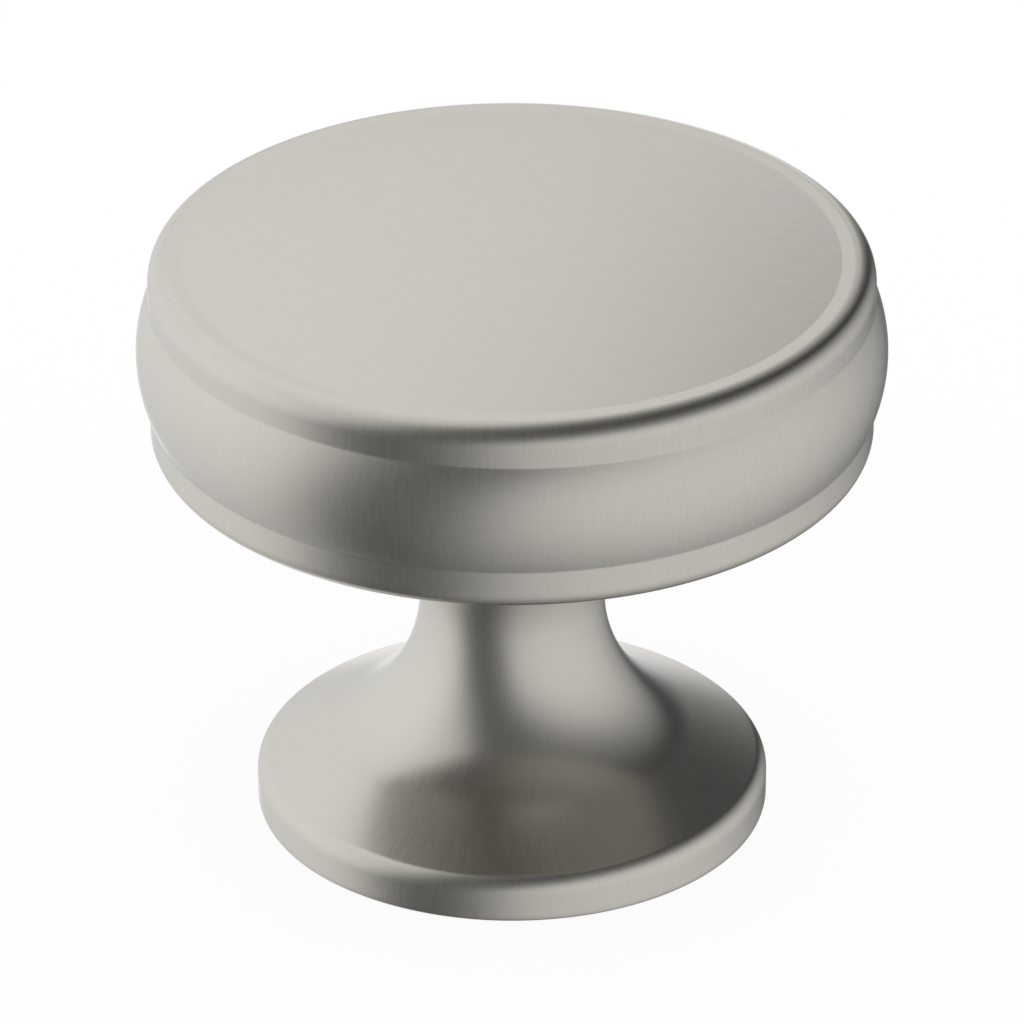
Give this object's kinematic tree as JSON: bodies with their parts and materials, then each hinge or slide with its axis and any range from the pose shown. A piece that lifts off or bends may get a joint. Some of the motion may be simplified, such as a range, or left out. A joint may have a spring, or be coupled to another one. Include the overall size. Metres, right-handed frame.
{
  "type": "cabinet knob",
  "caption": "Round cabinet knob: a crowned face on a barrel-sided head between plain beads, a slim neck and a flared round foot with a threaded hole in its back for the screw.",
  "frame": {"origin": "centre of the round foot, on the plane that seats on the door or drawer front", "axes": "+Z along the knob's axis, away from the door towards the hand; +X and +Y lie in the door's plane, and the knob is the same all round"},
  "size_m": [0.032, 0.032, 0.0269],
  "materials": {
    "satin_nickel": "satin nickel plate, finely brushed"
  },
  "bodies": {
    "root": {"knob": "satin_nickel"}
  },
  "joints": []
}
